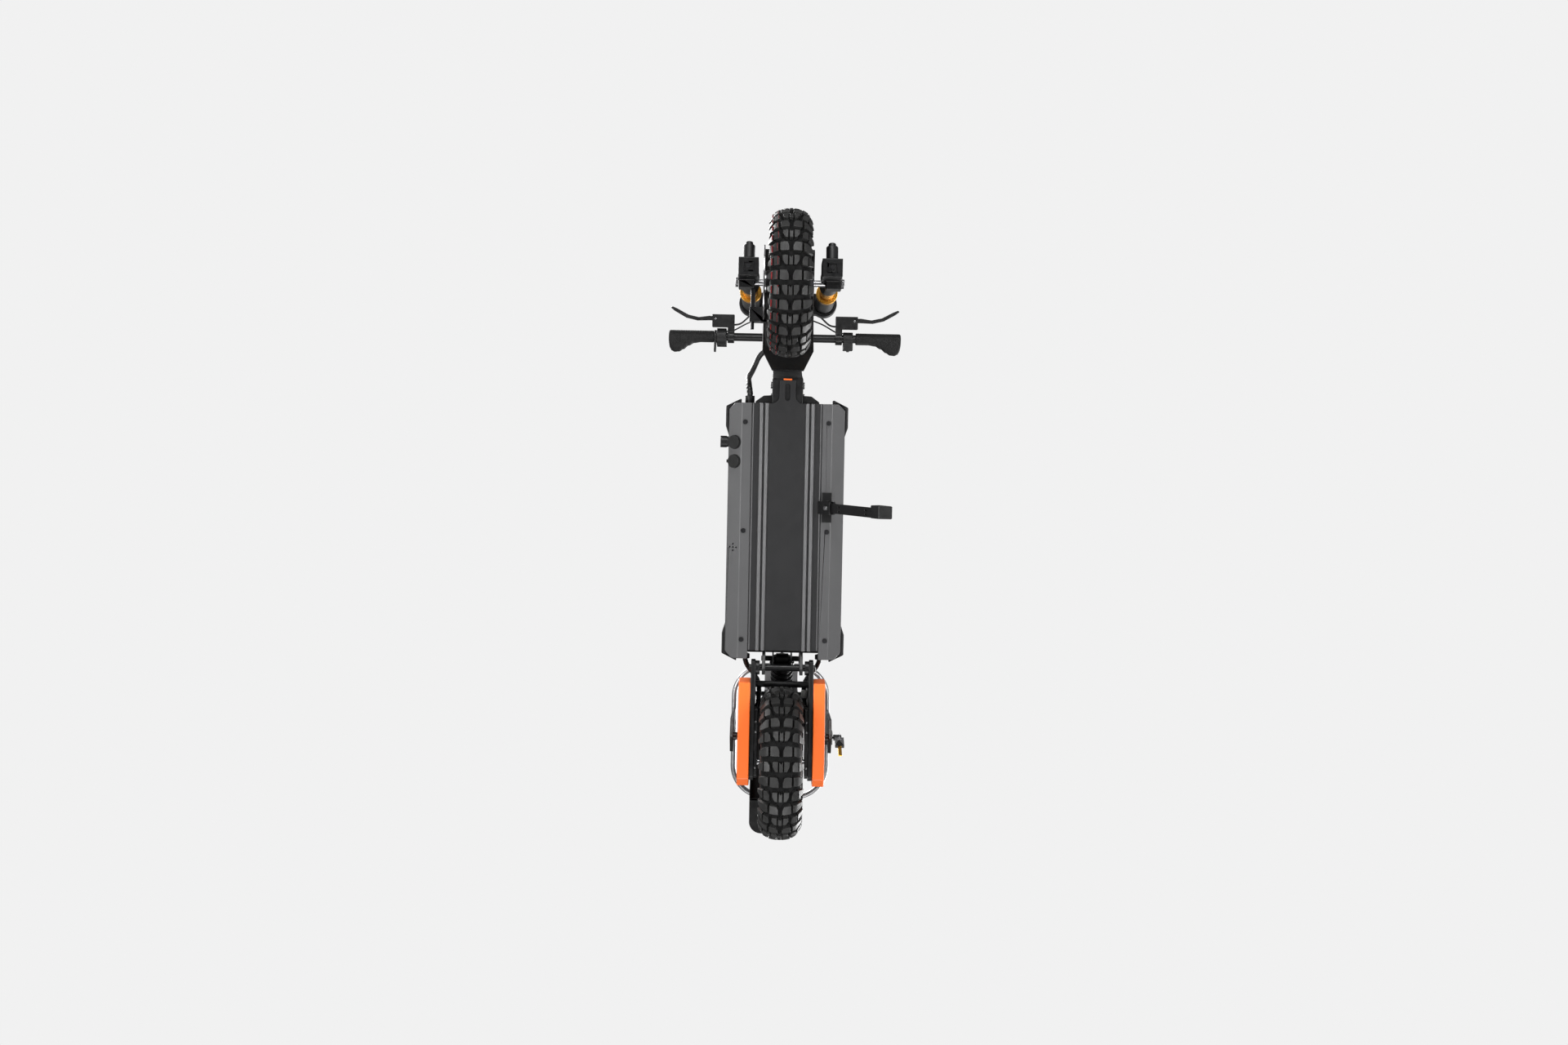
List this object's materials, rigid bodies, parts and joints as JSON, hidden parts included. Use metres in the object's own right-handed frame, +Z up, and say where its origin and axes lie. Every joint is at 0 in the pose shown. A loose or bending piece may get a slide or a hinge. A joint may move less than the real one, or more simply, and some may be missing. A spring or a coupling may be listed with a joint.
{
  "type": "electric kick scooter",
  "caption": "Off-road electric kick scooter: ribbed deck, inverted sprung fork, knobby tyres, sprung swingarm with orange covers, rear hoop, fold-down stem and kickstand",
  "frame": {"origin": "on the ground, below the middle of the whole scooter", "axes": "+X forward, +Y to the left of the rider, +Z up"},
  "size_m": [1.206, 0.628, 1.266],
  "materials": {
    "panel": "satin powder coat",
    "underside": "satin powder coat",
    "frame_black": "semi-gloss powder coat",
    "grip_rubber": "matte ribbed",
    "tyre": "matte knobbed",
    "black_plastic": "moulded grain",
    "gloss_black": "gloss",
    "orange": "satin orange coat",
    "gold": "gold anodised",
    "steel": "brushed",
    "dark_alloy": "dark cast",
    "alloy": "satin",
    "battery_wrap": "shrink wrap"
  },
  "bodies": {
    "chassis": {"side_panel_left": "panel", "side_panel_right": "panel", "underside_panel": "underside", "deck_plate": "frame_black", "grip_mat": "grip_rubber", "end_bulkheads": "frame_black", "neck_frame": "frame_black", "battery_pack": "battery_wrap", "motor_controller": "alloy", "frame_fasteners": "steel", "corner_bumpers": "black_plastic", "charge_sockets": "black_plastic", "kickstand_bracket": "frame_black", "wire_harness": "grip_rubber", "harness_glands": "black_plastic", "rear_subframe": "frame_black", "headset_cups": "alloy"},
    "steering": {"fork_crown": "frame_black", "fork_upper_tubes": "frame_black", "gold_collars": "gold", "front_fender": "black_plastic", "head_lamp": "gloss_black", "fold_base": "frame_black"},
    "fork_slider": {"fork_lowers": "frame_black", "front_axle": "steel", "front_caliper": "dark_alloy", "front_brake_hose": "grip_rubber"},
    "front_wheel": {"front_tyre": "tyre", "front_hub": "dark_alloy", "front_disc": "steel"},
    "stem": {"stem_tube": "frame_black", "handlebar": "frame_black", "grip_left": "grip_rubber", "grip_right": "grip_rubber", "lever_perches": "dark_alloy", "bar_cables": "grip_rubber", "throttle_pod": "black_plastic", "switch_pod": "black_plastic"},
    "latch": {"fold_latch": "orange"},
    "lever_left": {"brake_lever_left": "dark_alloy"},
    "lever_right": {"brake_lever_right": "dark_alloy"},
    "throttle": {"throttle_paddle": "black_plastic"},
    "horn": {"horn_button": "black_plastic"},
    "light_switch": {"light_button": "alloy"},
    "rear_arm": {"swingarm": "frame_black", "arm_covers": "orange", "rear_fender": "black_plastic", "rear_hoop": "steel", "hoop_lock": "black_plastic"},
    "rear_wheel": {"rear_tyre": "tyre", "hub_motor": "dark_alloy"},
    "shock_can": {"shock_body": "frame_black", "shock_spring": "frame_black"},
    "shock_rod": {"shock_shaft": "steel"},
    "stand": {"kickstand_leg": "frame_black", "kickstand_foot": "grip_rubber"},
    "cap_front": {"charge_cap_front": "grip_rubber"},
    "cap_rear": {"charge_cap_rear": "grip_rubber"},
    "knob": {"power_knob": "black_plastic"},
    "key": {"lock_key": "black_plastic"}
  },
  "joints": [
    {"name": "steer", "type": "hinge", "parent": "chassis", "child": "steering", "pos_m": [0.475, 0, 0.138], "axis": [-0.0523, 0, 0.9986], "range_deg": [-45, 45]},
    {"name": "fork_travel", "type": "slide", "parent": "steering", "child": "fork_slider", "axis": [-0.0523, 0, 0.9986], "range_m": [0, 0.03], "stiffness_N_per_m": 9000, "springref_m": -0.03},
    {"name": "front_spin", "type": "hinge", "parent": "fork_slider", "child": "front_wheel", "pos_m": [0.465, 0, 0.138], "axis": [0, 1, 0], "continuous": true},
    {"name": "stem_fold", "type": "hinge", "parent": "steering", "child": "stem", "pos_m": [0.41814, 0, 0.64973], "axis": [0, -1, 0], "range_deg": [0, 100]},
    {"name": "latch_turn", "type": "hinge", "parent": "steering", "child": "latch", "pos_m": [0.48289, 0, 0.6371], "axis": [0, 1, 0], "range_deg": [0, 110]},
    {"name": "lever_pull_left", "type": "hinge", "parent": "stem", "child": "lever_left", "pos_m": [0.48551, 0.188, 1.235], "axis": [0, 0, 1], "range_deg": [0, 16], "stiffness_Nm_per_rad": 0.8, "springref_deg": -14.32},
    {"name": "lever_pull_right", "type": "hinge", "parent": "stem", "child": "lever_right", "pos_m": [0.48551, -0.188, 1.235], "axis": [0, 0, -1], "range_deg": [0, 16], "stiffness_Nm_per_rad": 0.8, "springref_deg": -14.32},
    {"name": "throttle_push", "type": "hinge", "parent": "stem", "child": "throttle", "pos_m": [0.43751, -0.188, 1.235], "axis": [0, -1, 0], "range_deg": [0, 35], "stiffness_Nm_per_rad": 0.3, "springref_deg": -17.19},
    {"name": "horn_press", "type": "slide", "parent": "stem", "child": "horn", "axis": [1, 0, 0], "range_m": [0, 0.0015], "stiffness_N_per_m": 300, "springref_m": -0.001},
    {"name": "light_press", "type": "slide", "parent": "stem", "child": "light_switch", "axis": [1, 0, 0], "range_m": [0, 0.0015], "stiffness_N_per_m": 300, "springref_m": -0.001},
    {"name": "arm_swing", "type": "hinge", "parent": "chassis", "child": "rear_arm", "pos_m": [-0.252, 0, 0.15], "axis": [0, 1, 0], "range_deg": [0, 8], "stiffness_Nm_per_rad": 250, "springref_deg": -20.05},
    {"name": "rear_spin", "type": "hinge", "parent": "rear_arm", "child": "rear_wheel", "pos_m": [-0.425, 0, 0.138], "axis": [0, 1, 0], "continuous": true},
    {"name": "shock_turn", "type": "hinge", "parent": "chassis", "child": "shock_can", "pos_m": [-0.248, 0, 0.225], "axis": [0, 1, 0], "range_deg": [0, 12.5]},
    {"name": "shock_stroke", "type": "slide", "parent": "shock_can", "child": "shock_rod", "axis": [-0.7837, 0, 0.6212], "range_m": [-0.009, 0], "deforming": ["shock_spring"]},
    {"name": "stand_fold", "type": "hinge", "parent": "chassis", "child": "stand", "pos_m": [0.049, 0.08, 0.134], "axis": [0, 0.8192, 0.5736], "range_deg": [0, 90]},
    {"name": "cap_open_front", "type": "hinge", "parent": "chassis", "child": "cap_front", "pos_m": [0.168, -0.11076, 0.16381], "axis": [-1, 0, 0], "range_deg": [0, 110]},
    {"name": "cap_open_rear", "type": "hinge", "parent": "chassis", "child": "cap_rear", "pos_m": [0.132, -0.11076, 0.16381], "axis": [-1, 0, 0], "range_deg": [0, 110]},
    {"name": "knob_turn", "type": "hinge", "parent": "chassis", "child": "knob", "pos_m": [0.168, -0.109, 0.186], "axis": [0, -1, 0], "range_deg": [0, 90]},
    {"name": "key_turn", "type": "hinge", "parent": "rear_arm", "child": "key", "pos_m": [-0.424, 0.105, 0.33], "axis": [0, 1, 0], "range_deg": [0, 90]}
  ],
  "couplings": [
    {"joint": "shock_turn", "follows": "arm_swing", "ratio": 1.4921},
    {"joint": "shock_stroke", "follows": "arm_swing", "m_per_rad": -0.0564}
  ]
}
